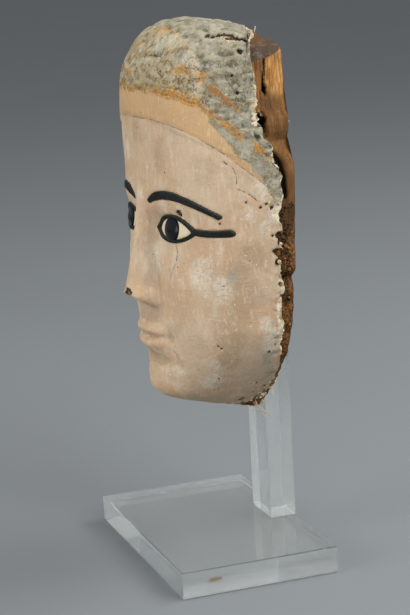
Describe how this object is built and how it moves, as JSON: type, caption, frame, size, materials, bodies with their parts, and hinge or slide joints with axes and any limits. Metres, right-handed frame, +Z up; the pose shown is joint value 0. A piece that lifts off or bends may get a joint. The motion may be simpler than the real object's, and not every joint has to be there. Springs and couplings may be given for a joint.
{
  "type": "mummy mask on stand",
  "caption": "Carved wooden face mask with a painted plaster skin and inlaid brows and eyes, held upright by a clear acrylic bar on a clear acrylic plate.",
  "frame": {"origin": "centre of the foot plate's underside", "axes": "+Z up, the mask's face looks to -Y and its left side is +X"},
  "size_m": [0.1985, 0.1215, 0.4049],
  "materials": {
    "wood": "dry, weathered and worm-eaten, with fresh orange-brown breaks",
    "painted_plaster": "matt painted plaster, worn and stained",
    "dark_inlay": "dull dark green-black",
    "white_inlay": "cream, dull",
    "pupil": "polished black",
    "acrylic": "clear, polished"
  },
  "bodies": {
    "root": {"wood_block": "wood", "plaster_skin": "painted_plaster", "brow_left": "dark_inlay", "brow_right": "dark_inlay", "eye_rim_left": "dark_inlay", "eye_rim_right": "dark_inlay", "eye_white_left": "white_inlay", "eye_white_right": "white_inlay", "pupil_left": "pupil", "pupil_right": "pupil", "stand_bar": "acrylic", "stand_plate": "acrylic"}
  },
  "joints": []
}
